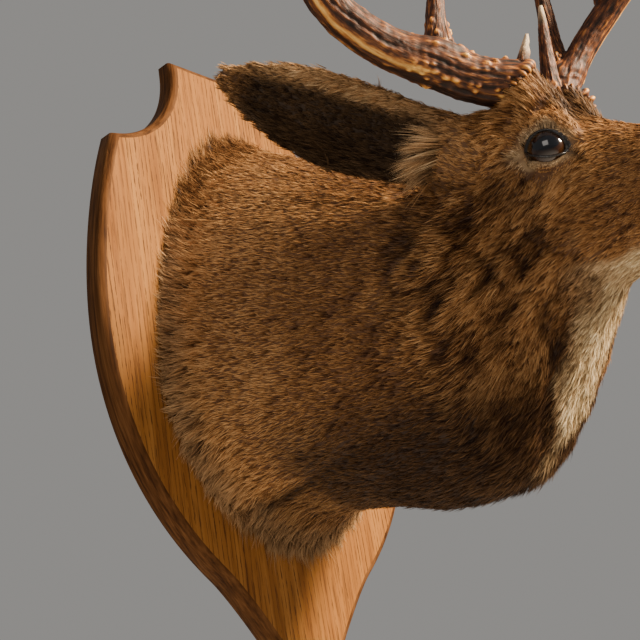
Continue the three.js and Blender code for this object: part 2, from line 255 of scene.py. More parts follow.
# Growth rings: thin beaded dark lines that drift across the grain and fade in and out.
ring_drift = 5.0          # in ring gaps
across_grain = add(tree, "ShaderNodeSeparateXYZ", {0: drift}).outputs[0]
wander = noise(tree, stretched(tree, drift, (1, 1, 0.10)), 26, 2.0)
ring_run = sums(tree, "MULTIPLY_ADD", wander, ring_drift, sums(tree, "MULTIPLY", across_grain, 1 / ring_gap))
off_ring = sums(tree, "ABSOLUTE", sums(tree, "SUBTRACT", sums(tree, "FRACT", ring_run), 0.5))
beads = noise(tree, stretched(tree, drift, (1, 1, 0.16)), 520, 2.0, 0.7)
dashes = sums(tree, "MULTIPLY_ADD", beads, 0.60, off_ring)
strips = gradient(tree, dashes, [(0.33, (1, 1, 1)), (0.40, (0, 0, 0))])
strength = remapped(tree, noise(tree, grain, 48, 3.0, 0.7), 0.35, 0.65, 0.45, 1.0)
face = mixed(tree, sums(tree, "MULTIPLY", strips, strength), face, (0.055, 0.021, 0.008, 1))

# Edge: walnut stain that stops unevenly where the edge meets the face.
streaks = noise(tree, stretched(tree, drift, (0.3, 1.6, 0.05)), 250, 3.0, 0.6)
walnut = gradient(tree, streaks, [(0.32, (0.034, 0.013, 0.005)), (0.5, (0.085, 0.034, 0.011)),
                                  (0.7, (0.145, 0.061, 0.021))])
uneven = noise(tree, object_place(tree), 260, 2.0)
stain = sums(tree, "MULTIPLY_ADD", uneven, 0.25, attribute(tree, "rim")["Fac"])
worn = noise(tree, object_place(tree, (1, 1, 0.3)), 40, 4.0, 0.6)
relief = sums(tree, "SUBTRACT", sums(tree, "MULTIPLY", bands, 0.35), pores)
feed(tree, shader, {"Base Color": mixed(tree, remapped(tree, stain, 0.42, 0.62, 0, 1), face, walnut),
                    "Roughness": remapped(tree, worn, 0, 1, 0.52, 0.66),
                    "Normal": bumped(tree, relief, 0.35, 0.0004),
                    "Specular IOR Level": 0.05})
board_mesh.materials.append(oak)

# ---------------------------------------------------------------------------------------------------------
# Hanger: a small brushed steel plate let into the board's back, with a toothed slot for the wall screw. It is
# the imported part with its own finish.
# ---------------------------------------------------------------------------------------------------------
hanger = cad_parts["hanger_plate"]
steel, tree, shader = node_material("hanger_steel")
brushing = noise(tree, object_place(tree, (0.05, 1, 1)), 2400, 3.0, 0.6)
brushed = gradient(tree, brushing, [(0.3, (0.34, 0.34, 0.33)), (0.7, (0.52, 0.52, 0.51))])
feed(tree, shader, {"Base Color": brushed,
                    "Roughness": remapped(tree, brushing, 0, 1, 0.28, 0.5),
                    "Metallic": 1.0})
hanger.data.materials.clear()
hanger.data.materials.append(steel)

# ---------------------------------------------------------------------------------------------------------
# Hide: the tanned skin over its form, one closed surface from the board to the nose, over the ears and into
# the ear cups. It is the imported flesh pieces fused, drawn in by the depth of the coat, and modelled round the
# eyes, nostrils and lips.
# ---------------------------------------------------------------------------------------------------------
body_nodes = ["neck", "head", "muzzle", "lower_jaw", "nose_pad"]
ear_nodes = ["ear_right", "ear_left"]
eye_nodes = {"right": "eye_right", "left": "eye_left"}
seam_overlap = 0.0006     # each flesh piece is swollen this much so that the cuts between them close
hide_voxel = 0.0034
head_pitch = math.radians(7)
eye_low, eye_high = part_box("eye_right")
eye_radius = (eye_high - eye_low).x / 2


def mirrored(right_side):
    """The right side's place or way, and the left side's."""
    return {"right": Vector(right_side), "left": Vector(right_side) * Vector((-1, 1, 1))}


eye_place = mirrored((eye_low + eye_high) / 2)
head_origin = np.array([0.0, eye_place["right"].y, eye_place["right"].z])


def merged_copy(name, swell):
    """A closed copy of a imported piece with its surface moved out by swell."""
    copy = bmesh.new()
    copy.from_mesh(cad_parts[name].data)
    bmesh.ops.remove_doubles(copy, verts=copy.verts, dist=1e-6)
    copy.normal_update()
    for vertex in copy.verts:
        vertex.co += vertex.normal * swell
    return copy


def fused(name, nodes, swell, voxel, smoothing):
    """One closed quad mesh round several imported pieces."""
    joined = bmesh.new()
    for node in nodes:
        copy = merged_copy(node, swell)
        loose = bpy.data.meshes.new("loose")
        copy.to_mesh(loose)
        copy.free()
        joined.from_mesh(loose)
        bpy.data.meshes.remove(loose)
    mesh = bpy.data.meshes.new(name)
    joined.to_mesh(mesh)
    joined.free()
    made = new_object(name, mesh)
    remesh = made.modifiers.new("remesh", "REMESH")
    remesh.mode, remesh.voxel_size = "VOXEL", voxel
    smooth = made.modifiers.new("smooth", "SMOOTH")
    smooth.factor, smooth.iterations = 0.5, smoothing
    whole = bpy.data.meshes.new_from_object(made.evaluated_get(bpy.context.evaluated_depsgraph_get()))
    made.modifiers.clear()
    made.data = whole
    bpy.data.meshes.remove(mesh)
    return made


def read(items, key, width, kind=np.float32):
    """One property of every item of a mesh, a row for each."""
    flat = np.empty(len(items) * width, kind)
    items.foreach_get(key, flat)
    return flat.reshape(-1, width)


def points_of(mesh):
    return read(mesh.vertices, "co", 3).astype(float)


def normals_of(mesh):
    return read(mesh.vertices, "normal", 3).astype(float)


def set_points(mesh, points):
    mesh.vertices.foreach_set("co", points.astype(np.float32).ravel())
    mesh.update()


def smooth_shaded(mesh):
    mesh.polygons.foreach_set("use_smooth", np.ones(len(mesh.polygons), bool))


def head_frame(points):
    """Places along f to the nose, l to the animal's left and u up from between the eyes, in mm."""
    _, y, z = ((points - head_origin) * 1000).T
    f = -(y * math.cos(head_pitch) + z * math.sin(head_pitch))
    u = -y * math.sin(head_pitch) + z * math.cos(head_pitch)
    return f, points[:, 0] * 1000, u


def ramp(value, low, high):
    """0 below low and 1 above high, easing between; low may be the larger."""
    t = np.clip((value - low) / (high - low), 0, 1)
    return t * t * (3 - 2 * t)


def hump(*spans):
    """1 where each value is at its middle, falling away on both sides over its width."""
    return np.exp(-sum(((value - middle) / width) ** 2 for value, middle, width in spans))


def toward(value, goal, share):
    return value + (goal - value) * share


def dots(a, b):
    return np.einsum("ij,ij->i", a, b)


def unit(vectors):
    return vectors / np.maximum(np.linalg.norm(vectors, axis=1, keepdims=True), 1e-9)


def refined(made, chosen):
    """Halves the faces whose corners are all chosen, once."""
    near = chosen(points_of(made.data))
    form = bmesh.new()
    form.from_mesh(made.data)
    edges = [edge for edge in form.edges if near[edge.verts[0].index] and near[edge.verts[1].index]]
    bmesh.ops.subdivide_edges(form, edges=edges, cuts=1, use_grid_fill=True)
    form.to_mesh(made.data)
    form.free()


def eye_range(points):
    """The distance to the nearer eye, in mm."""
    ranges = [np.linalg.norm(points - np.array(place), axis=1) for place in eye_place.values()]
    return np.minimum(*ranges) * 1000


def mouth_line(f):
    """The height u at which the lips meet."""
    return -74 + 3.0 * ramp(f, 150, 122)


def near_the_lips(points):
    f, _, u = head_frame(points)
    return (f > 112) & (np.abs(u + 74) < 8) | (f > 166)


hide = fused("hide", body_nodes + ear_nodes + list(eye_nodes.values()), seam_overlap, hide_voxel, 9)
refined(hide, lambda points: eye_range(points) < 40)
refined(hide, lambda points: head_frame(points)[0] > 100)
refined(hide, near_the_lips)
refined(hide, lambda points: eye_range(points) < 26)

# What each part of the hide is: the share of ear, and within it the share that faces into the cup.
ear_root = mirrored((-0.050, -0.334, 0.064))
ear_tip = mirrored((-0.187, -0.190, 0.176))
ear_open = mirrored(Vector((-0.79, -0.44, -0.41)).normalized())
ear_run = {side: ear_tip[side] - ear_root[side] for side in ear_root}


def gap_to(nodes, points):
    """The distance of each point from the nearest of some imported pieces."""
    joined = bmesh.new()
    for node in nodes:
        joined.from_mesh(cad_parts[node].data)
    tree = BVHTree.FromBMesh(joined)
    joined.free()
    return np.array([tree.find_nearest(point)[3] for point in points])


def eased(mesh, values, rounds):
    """Values at the points of a mesh, averaged with their neighbours."""
    a, b = read(mesh.edges, "vertices", 2, np.int32).T
    count = np.bincount(a, minlength=len(values)) + np.bincount(b, minlength=len(values)) + 1
    for _ in range(rounds):
        total = values.copy()
        np.add.at(total, a, values[b])
        np.add.at(total, b, values[a])
        values = total / count
    return values


def sided(vectors, points):
    """The right or the left one of a pair of vectors for each point."""
    return np.where(points[:, :1] < 0, np.array(vectors["right"])[None], np.array(vectors["left"])[None])


def ear_along(points):
    """Share of the way from an ear's root to its tip."""
    return dots(points - sided(ear_root, points), sided(ear_run, points)) / ear_run["right"].length_squared


hide_points = points_of(hide.data)
hide_normals = normals_of(hide.data)
on_ear = gap_to(ear_nodes, hide_points) < gap_to(body_nodes, hide_points) - 0.0008
ear_share = eased(hide.data, on_ear.astype(float), 3)
cup_share = ear_share * ramp(dots(hide_normals, sided(ear_open, hide_points)), 0.05, 0.5)
cup_share = eased(hide.data, cup_share * ramp(ear_along(hide_points), 0.12, 0.25), 2)


def behind_nose(f, l, u):
    """How far forward of the slanting line over the muzzle that ends the nose pad a place is, in mm."""
    return 0.8 * f + 0.6 * u + 0.019 * l * l


def nose_share(points):
    """1 on the bare nose pad, easing to 0 on the haired muzzle behind and below it."""
    f, l, u = head_frame(points)
    foot = -71 + 10 * ramp(np.abs(l), 8, 14)
    return ramp(behind_nose(f, l, u), 118.5, 120.5) * ramp(u, foot - 1, foot + 1.5) * ramp(f, 110, 130)


def coat_depth(points, ear):
    """How deep the coat lies over the hide, in metres."""
    f = head_frame(points)[0]
    _, y, z = points.T
    depth = 0.0030 + 0.0015 * ramp(y, -0.07, -0.03)
    depth += 0.0030 * ramp(z, -0.12, -0.17) * ramp(y, -0.12, -0.06)
    for goal, share in ((0.0024, ramp(f, -60, 10)), (0.0013, ramp(f, 40, 110)), (0.0002, nose_share(points)),
                        (0.0026, 1 - ramp(eye_range(points), 22, 34)), (0.0017, ear)):
        depth = toward(depth, goal, share)
    return depth


def noise3(points, scale, seed):
    """Smooth noise between about -1 and 1 from sums of turned waves; scale is its size in metres."""
    waves = np.random.default_rng(seed)
    total = np.zeros(len(points))
    for _ in range(9):
        turn = waves.normal(size=3)
        turn *= 2 * math.pi / scale * waves.uniform(0.6, 1.5) / np.linalg.norm(turn)
        total += np.sin(points @ turn + waves.uniform(0, 2 * math.pi))
    return total / 4.5


# The hair of the cheek runs back and down, and its folds are about two and a half times longer that way.
fold_way = np.array([0, 0.76, -0.65])
fold_stretch = np.eye(3) - 0.62 * np.outer(fold_way, fold_way)
fold_height = 0.0022
brisket_depth = 0.0040
highest_swell = 0.0010


def folds(points):
    """Soft folds and swells of the loose coat on the cheek and throat, drawn out along the hair."""
    along_hair = points @ fold_stretch
    return 0.65 * noise3(along_hair, 0.030, 77) + 0.55 * noise3(along_hair, 0.014, 78)


def on_cheek(points, ear):
    return ramp(-points[:, 1], 0.20, 0.29) * ramp(-head_frame(points)[0], -30, 20) * (1 - ear)


def brisket_crease(points):
    """1 along the crease above the brisket hair, and each place's height over it in mm."""
    _, y, z = (points * 1000).T
    height = z + 143 + 0.1 * (y + 50)
    return hump((height, 0, 6)) * ramp(-y, 32, 48) * ramp(y, -190, -150), height


hide_points -= hide_normals * coat_depth(hide_points, ear_share)[:, None]
relief = fold_height * (folds(hide_points) * on_cheek(hide_points, ear_share))
relief -= brisket_depth * brisket_crease(hide_points)[0]
hide_points += hide_normals * np.minimum(relief, highest_swell)[:, None]
set_points(hide.data, hide_points)

# Lids: the hide is drawn back behind the eyeball inside the opening and laid over it outside.
lid_length, lid_rise, lid_drop, lid_slant = 17.4, 12.6, 10.6, 0.10   # half length, heights and tilt, in mm
lid_fullness, lid_bow = 1.75, 1.9    # 2 would make an ellipse of the opening, and 1 a diamond
lid_reach = 18.0          # distance of the lid's edge from the middle of the eyeball, in mm
behind_ball = 2.4         # how far behind the eyeball's surface the hide passes, in mm
gaze_out, gaze_forwards, gaze_up = 0.915, 0.40, 0.05


def eye_axes(side):
    """Unit vectors of an eye: out along its gaze, forwards across it and up across it."""
    sideways = Vector((-gaze_out if side == "right" else gaze_out, 0, 0))
    forwards = Vector((0, -math.cos(head_pitch), -math.sin(head_pitch)))
    upwards = Vector((0, -math.sin(head_pitch), math.cos(head_pitch)))
    look = (sideways + forwards * gaze_forwards + upwards * gaze_up).normalized()
    across = (forwards - look * forwards.dot(look)).normalized()
    over = (upwards - look * upwards.dot(look) - across * upwards.dot(across)).normalized()
    return np.array([look, across, over])


def eye_frame(points, side):
    """Places out along the gaze, forwards and up from an eyeball's middle, in mm."""
    return ((points - np.array(eye_place[side])) * 1000) @ eye_axes(side).T


def opening(points, side):
    """Below 1 inside the opening between an eye's lids, 1 at their edge, with each point's place."""
    out, across, over = eye_frame(points, side).T
    over = over + lid_slant * across
    height = np.where(over > 0, lid_rise, lid_drop)
    edge = np.abs(across / lid_length) ** lid_fullness + np.abs(over / height) ** lid_bow
    return edge, out, across, over


def tear_duct(across, over, width):
    """1 along the line that runs down and forwards from the eye's front corner."""
    return hump((over + 3.0 + 0.55 * (across - 17), 0, width))


for side in eye_place:
    q, out, across, over = opening(hide_points, side)
    middle = np.array(eye_place[side])
    spoke = hide_points - middle
    reach = np.linalg.norm(spoke, axis=1) * 1000
    near = (out > -4) & (reach < 46)
    lid = lid_reach + 1.0 * ramp(q, 1.02, 1.6)
    laid = reach + (1 - ramp(q, 2.2, 4.5)) * np.maximum(lid - reach, 0)
    laid = toward(laid, lid, 1 - ramp(q, 1.1, 2.4))
    crease = hump((q, 1.75, 0.22)) * np.where(over > 0, 1.1, 0.7) * (1 - ramp(np.abs(across), 15, 22))
    brow = 1.8 * hump((across, 1, 15), (over, 23, 6.5))
    duct = 2.2 * tear_duct(across, over, 1.7) * ramp(across, 15, 18) * (1 - ramp(across, 27, 35))
    laid = laid - crease + brow - duct
    inside = eye_radius * 1000 - behind_ball
    target = toward(inside, laid, ramp(q, 0.93, 1.05))
    hide_points = np.where(near[:, None], middle + spoke / reach[:, None] * target[:, None], hide_points)

# Nostrils, the groove between them, lips, and the planes of the face, all pushed in or out in mm.
set_points(hide.data, hide_points)
hide_normals = normals_of(hide.data)
f, l, u = head_frame(hide_points)
side = np.abs(l)
nostril_f, nostril_l, nostril_u = f - 185, side - 16.5, u + 52
along_slit = (nostril_f * -0.45 + nostril_l * 0.62 + nostril_u * 0.64) / 10.5
across_slit = (nostril_f * 0.3 + nostril_l * -0.55 + nostril_u * 0.78) / 4.8
slit = np.hypot(along_slit, across_slit + 0.35 * along_slit ** 2)
push = ramp(f, 168, 174) * (1.3 * hump((slit, 1.45, 0.3)) - 7.0 * (1 - ramp(slit, 0.45, 1.1)))
push -= 1.3 * hump((l, 0, 1.3)) * ramp(f, 178, 186) * ramp(u, -46, -54)
lip_u = mouth_line(f) - 1.2 * hump((f, 150, 18))
push += ramp(f, 116, 124) * (1.0 * hump((u, lip_u + 5, 3.2)) - 2.6 * hump((u, lip_u, 1.25)))
push -= 1.3 * ramp(f, 120, 165) * ramp(u, lip_u - 0.5, lip_u - 3)
push -= 2.4 * hump((f, 46, 17), (side, 40, 14), (u, -12, 13))
push += 2.0 * hump((f, 22, 24), (u + 33 + 0.25 * (f - 22), 0, 9)) * ramp(side, 30, 42)
push -= 1.6 * hump((f, 20, 34), (l, 0, 9)) * ramp(u, 10, 25)
hide_points = hide_points + hide_normals * push[:, None] / 1000
set_points(hide.data, hide_points)
smooth_shaded(hide.data)
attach(hide, "root")
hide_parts(*body_nodes, *ear_nodes)

# The hide's map is unwrapped over its own shape, and the coat's hair takes its place on it.
bpy.context.view_layer.objects.active = hide
hide.select_set(True)
hide.data.uv_layers.new(name="OFBake")
bpy.ops.object.mode_set(mode="EDIT")
bpy.ops.mesh.select_all(action="SELECT")
bpy.ops.uv.smart_project(angle_limit=math.radians(70), island_margin=0.004)
bpy.ops.object.mode_set(mode="OBJECT")


def ear_axis(points):
    return unit(sided(ear_run, points))


def ear_fold(points):
    """Unit vectors down across the ears, from the upper rim to the lower one."""
    across = unit(sided({side: ear_open[side].cross(ear_run[side]) for side in ear_run}, points))
    return across * np.where(points[:, :1] < 0, 1, -1)


def ear_down(points):
    """How far below its ear's middle line a place is, in mm."""
    return dots(points - sided(ear_root, points), ear_fold(points)) * 1000


def markings_and_painted_light(points, ear, cup):
    """The coat's markings, with painted light and shade among them, at each place: how pale, how dark and how
    grey it is.
    """
    f, l, u = head_frame(points)
    _, y, z = (points * 1000).T
    side = np.abs(l)
    wander = noise3(points, 0.030, 5) * 3.0

    # Pale: a tapering bib below the jaw, the jaw, a band behind the nose, the lip, and rings round the eyes.
    broad = ramp(-y, 292, 372)
    bib = ramp(-side + 2.2 * wander, -8 - 28 * broad, 2 - 14 * broad) * ramp(-y + 3 * wander, 292, 340)
    bib *= ramp(f, 62, 10) * (u < -60)
    jaw = ramp(f, -10, 50) * ramp(-u + wander - 0.15 * side, 80, 88)
    band = ramp(f, 150, 160) * ramp(np.abs(behind_nose(f, l, u) - 112 + 0.6 * wander), 8, 3.5)
    lip = ramp(f, 134, 152) * ramp(-u + 0.5 * wander, 60, 68)
    ring, tear = np.zeros(len(points)), np.zeros(len(points))
    for eye in eye_place:
        q, out, across, over = opening(points, eye)
        lids = ramp(q, 1.0, 1.15) * ramp(-q - 0.25 * wander, -2.5, -1.5)
        lids *= 0.3 + 0.7 * ramp(np.abs(over), 3, 9)
        corner = hump((across, -24, 7), (over, -1, 4.5))
        ring = np.maximum(ring, (out > -8) * np.maximum(0.55 * lids, 0.75 * corner))
        stain = tear_duct(across, over, 3.2) * ramp(across, 14, 18) * ramp(-across, -40, -30)
        tear = np.maximum(tear, (out > -12) * stain)
    pale = np.clip(np.maximum.reduce([bib, jaw, band, lip, ring]), 0, 1)

    # Inside the ears: pale along the upper rim, partly pale hair and partly painted light, and behind the fan
    # of long hair.
    down, way = ear_down(points), ear_along(points)
    half = 38 * np.sqrt(np.clip(1 - (way - 0.45) ** 2 / 0.36, 0.05, 1))
    upper_rim = ramp(-down / half, 0.10, 0.60)
    fan = 0.6 * hump((way, 0.13, 0.05)) * ramp(down, -20, -8)
    pale = toward(pale, 0.14 * upper_rim + 0.10 * fan, cup)

    # Dark: the crown, the bridge of the nose, a spot on the chin and the tear line, and painted shade along the
    # ears' lower rims.
    crown = ramp(u, 8, 26) * ramp(f, 62, 20) * ramp(-side + wander, -44, -30) * ramp(f, -110, -70)
    bridge = 0.6 * ramp(u + 0.32 * f, 18, 27) * ramp(f, 40, 100) * ramp(-side, -24, -10)
    spot = ramp(-np.hypot((f - 154) / 9, (u + 82) / 5.5), -1.3, -0.8)
    # painted shade along the ears' lower rims
    painted_shade_below = 0.45 * (ear - cup) * ramp(down, 18, 34)
    dark = np.clip(np.maximum.reduce([0.8 * crown, bridge, spot, painted_shade_below, 0.8 * tear]), 0, 1)

    # Painted shade: under the throat, where the winter coat is darker too, over the cheek and deepest in the
    # hollows of its folds, in the ear cups, and along and below the brisket's crease. Darker too over the top
    # of the collar.
    throat = 0.80 * ramp(-z, 70, 140) * ramp(-y, 72, 118) * ramp(f, 90, 30)
    jowl = hump((f, -63, 28), (u, -50, 28))
    # painted shade over the cheek, deepest in the hollows of its folds and less on the jowl
    cheek_shade = np.clip(0.40 - 0.62 * folds(points) - 0.35 * jowl, 0, 0.88)
    cheek_shade *= on_cheek(points, ear) * ramp(u, 20, -40)
    dark = np.maximum(dark, np.maximum(0.06 + throat, cheek_shade) * (1 - pale))
    # painted shade in the ear cups, less on the upper rim, the fan and near the tip
    dark = np.maximum(dark, cup * np.clip(1.1 - 0.9 * upper_rim - fan - 0.6 * ramp(way, 0.82, 0.96), 0, 1))
    # painted shade along the brisket's crease and below it
    crease, over_crease = brisket_crease(points)
    under_crease = ramp(-over_crease, -2, 6) * ramp(z + 0.3 * wander, -190, -176)
    dark = np.maximum(dark, np.maximum(0.92 * crease, 0.60 * under_crease))
    # darker over the top of the collar
    dark = np.maximum(dark, 0.45 * ramp(y + 2 * wander, -75, -35) * ramp(z, 90, 150))
    pale = pale * (1 - spot) * (1 - 0.8 * tear)
    grey = np.maximum(0.7 * ramp(y + 2 * wander, -62, -34) * ramp(-z, -150, -80), 0.25 * ear)
    return np.clip(pale, 0, 1), np.clip(dark, 0, 1), np.clip(grey, 0, 1)


def put_colours(mesh, name, channels):
    """Stores up to four 0 to 1 channels on a mesh's points."""
    filled = np.ones((len(mesh.vertices), 4), np.float32)
    filled[:, :len(channels)] = np.column_stack(channels)
    mesh.attributes.new(name, "FLOAT_COLOR", "POINT").data.foreach_set("color", filled.ravel())


# ---------------------------------------------------------------------------------------------------------
# Coat: short winter hair in overlapping locks over the whole hide, longest at the brisket and throat and
# shortest on the muzzle, lying from the nose back to the board. Each hair blade is three faces, and each lock
# is a few blades whose tips draw together.
# ---------------------------------------------------------------------------------------------------------
hide.data.calc_loop_triangles()
triangles = hide.data.loop_triangles
triangle_corners = read(triangles, "vertices", 3, np.int32)
triangle_loops = read(triangles, "loops", 3, np.int32)
triangle_uv = read(hide.data.uv_layers["OFBake"].data, "uv", 2)[triangle_loops]
hide_points = points_of(hide.data)
hide_normals = normals_of(hide.data)
corner_places = hide_points[triangle_corners]
triangle_edges = corner_places[:, 1:] - corner_places[:, :1]
triangle_area = 0.5 * np.linalg.norm(np.cross(triangle_edges[:, 0], triangle_edges[:, 1]), axis=1)
triangle_middle = corner_places.mean(axis=1)
triangle_ear = ear_share[triangle_corners].mean(axis=1)
triangle_cup = cup_share[triangle_corners].mean(axis=1)
hair_stop = -board_thickness - 0.0012     # no hair goes behind this, in y


def bare(points):
    """1 where no hair grows: the nose pad, the openings of the eyes and the line of the lips."""
    shut = nose_share(points)
    for eye in eye_place:
        q, out, _, _ = opening(points, eye)
        shut = np.maximum(shut, (out > 0) * ramp(-q, -1.16, -1.02))
    f, _, u = head_frame(points)
    return np.maximum(shut, ramp(f, 118, 124) * hump((u, mouth_line(f), 1.4)))


def lie(points, normals, ear, cup):
    """The way the hair lies, along the hide."""
    f, l, u = head_frame(points)
    _, y, z = (points * 1000).T
    side = np.where(points[:, 0] < 0, -1.0, 1.0)
    cheek = ramp(-y, 245, 330) * ramp(f, 30, -30) * ramp(np.abs(l), 20, 45) * ramp(-z, -60, -10)
    flare = ramp(y, -85, -40) * np.clip((z - 5) / 90, -1.2, 1.2)
    down = -0.26 + 0.22 * ramp(-z, 30, 140) + 0.36 * ramp(f, -110, -40) + 0.60 * cheek - 0.55 * flare
    flow = np.column_stack([0.10 * side * ramp(f, 40, 0), np.ones(len(points)), -down])
    flow[:, 2] += 0.7 * ramp(u, 0, 25) * ramp(-np.abs(f - 20), -60, -30)
    for eye in eye_place:
        out, across, over = eye_frame(points, eye).T
        round_eye = hump((np.hypot(across, over), 20, 14)) * (out > -12)
        axes = eye_axes(eye)
        flow += (round_eye * np.sign(over) * 0.9)[:, None] * axes[2] + (round_eye * 0.35)[:, None] * axes[0]
    flow = flow + 0.16 * noise3(points, 0.045, 21)[:, None] * np.cross(normals, flow)
    flow = toward(unit(flow), ear_axis(points), ramp(ear, 0.2, 0.8)[:, None])
    flow = flow + 0.35 * cup[:, None] * sided(ear_open, points)
    return unit(flow - normals * dots(flow, normals)[:, None])


def hair_length(points, ear, cup):
    """Length of the hair in metres."""
    f, _, u = head_frame(points)
    _, y, z = points.T
    length = 0.0105 + 0.006 * ramp(y, -0.08, -0.035) + 0.005 * ramp(y, -0.10, -0.03) * ramp(z, 0.15, 0.22)
    length = length + 0.004 * ramp(-y, 0.235, 0.30) * ramp(-u, 10, 60)
    length = length + 0.005 * ramp(-z, 0.120, 0.172) * ramp(y, -0.13, -0.05) + 0.003 * ramp(-z, 0.150, 0.180)
    for goal, share in ((0.0105, ramp(f, -60, -10)), (0.0068, ramp(f, 10, 60)), (0.0042, ramp(f, 80, 150))):
        length = toward(length, goal, share)
    length = length + 0.005 * ramp(u, 15, 35) * ramp(-np.abs(f + 20), -60, -35)
    length = toward(length, 0.0030, 1 - ramp(eye_range(points), 18, 36))
    return toward(length, 0.0075, ear) + 0.006 * cup * ramp(np.abs(ear_down(points)), 12, 26)


def blades(name, roots, ways, normals, lengths, widths, lifts, rolls, drawn, uv, channels):
    """One mesh of hair blades, each a strip of two steps that narrows to a point and lies down again."""
    count = len(roots)
    half = lengths[:, None] * 0.5
    rise, run = np.sin(lifts)[:, None], np.cos(lifts)[:, None]
    middle = roots + half * (ways * run + normals * rise) + drawn * 0.4
    tip = middle + half * (ways * (0.4 + 0.6 * run) + normals * rise * 0.25) + drawn * 0.6
    for end in (middle, tip):
        end[:, 1] = np.minimum(end[:, 1], hair_stop)
    width = np.cross(ways, normals) * np.cos(rolls)[:, None] + normals * np.sin(rolls)[:, None]
    width *= widths[:, None] / 2
    narrow = width * 0.85
    corners = np.stack([roots - width, roots + width, middle - narrow, middle + narrow, tip], axis=1)
    faces = np.array([[0, 1, 3], [0, 3, 2], [2, 3, 4]])[None] + 5 * np.arange(count)[:, None, None]
    mesh = bpy.data.meshes.new(name)
    mesh.vertices.add(count * 5)
    mesh.vertices.foreach_set("co", corners.astype(np.float32).ravel())
    mesh.loops.add(count * 9)
    mesh.loops.foreach_set("vertex_index", faces.astype(np.int32).ravel())
    mesh.polygons.add(count * 3)
    mesh.polygons.foreach_set("loop_start", np.arange(0, count * 9, 3, dtype=np.int32))
    smooth_shaded(mesh)
    patch = np.array([[-0.5, -0.5], [0.5, -0.5], [-0.4, 0.0], [0.4, 0.0], [0.0, 0.5]]) * 0.003
    corner_uv = (uv[:, None] + patch[None]).reshape(-1, 2)[faces.ravel()]
    mesh.uv_layers.new(name="OFBake").data.foreach_set("uv", corner_uv.astype(np.float32).ravel())
    mesh.update(calc_edges=True)
    along = np.tile([0.0, 0.0, 0.5, 0.5, 1.0], count)
    pale, dark, grey, tone = (np.repeat(channel, 5) for channel in channels)
    put_colours(mesh, "coat", [pale, dark, along])
    put_colours(mesh, "tone", [grey, tone])
    made = new_object(name, mesh)
    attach(made, "root")
    return made


def blade_tones(place, ear, cup, collar):
    """How much lighter or darker the coat is from one part of the animal to another, with painted light on the
    neck's flare by the board, painted light and shade on the cheek's folds, and darker high on the collar.
    """
    f, l, u = head_frame(place)
    _, y, z = place.T
    streaks = ramp(noise3(place * (1, 0.16, 1), 0.0036, 31), 0.25, 0.85)
    high = ramp(z, 0.06, 0.16)
    # the collar term makes it darker high on the collar
    tones = 0.08 * noise3(place, 0.050, 30) - 0.42 * streaks - 0.20 * collar * high - 0.02
    # painted light where the neck flares out towards the board, less of it high up; painted light on the swells
    # and painted shade in the hollows of the cheek's folds
    tones += 0.27 * ramp(y, -0.19, -0.10) * (1 - 0.6 * high) + 0.22 * on_cheek(place, ear) * folds(place)
    tones += 0.16 * ramp(u, -25, 5) * ramp(np.abs(l), 46, 58) * ramp(-f, 25, 42)
    return tones + 0.13 * (1 - ramp(eye_range(place), 32, 75))


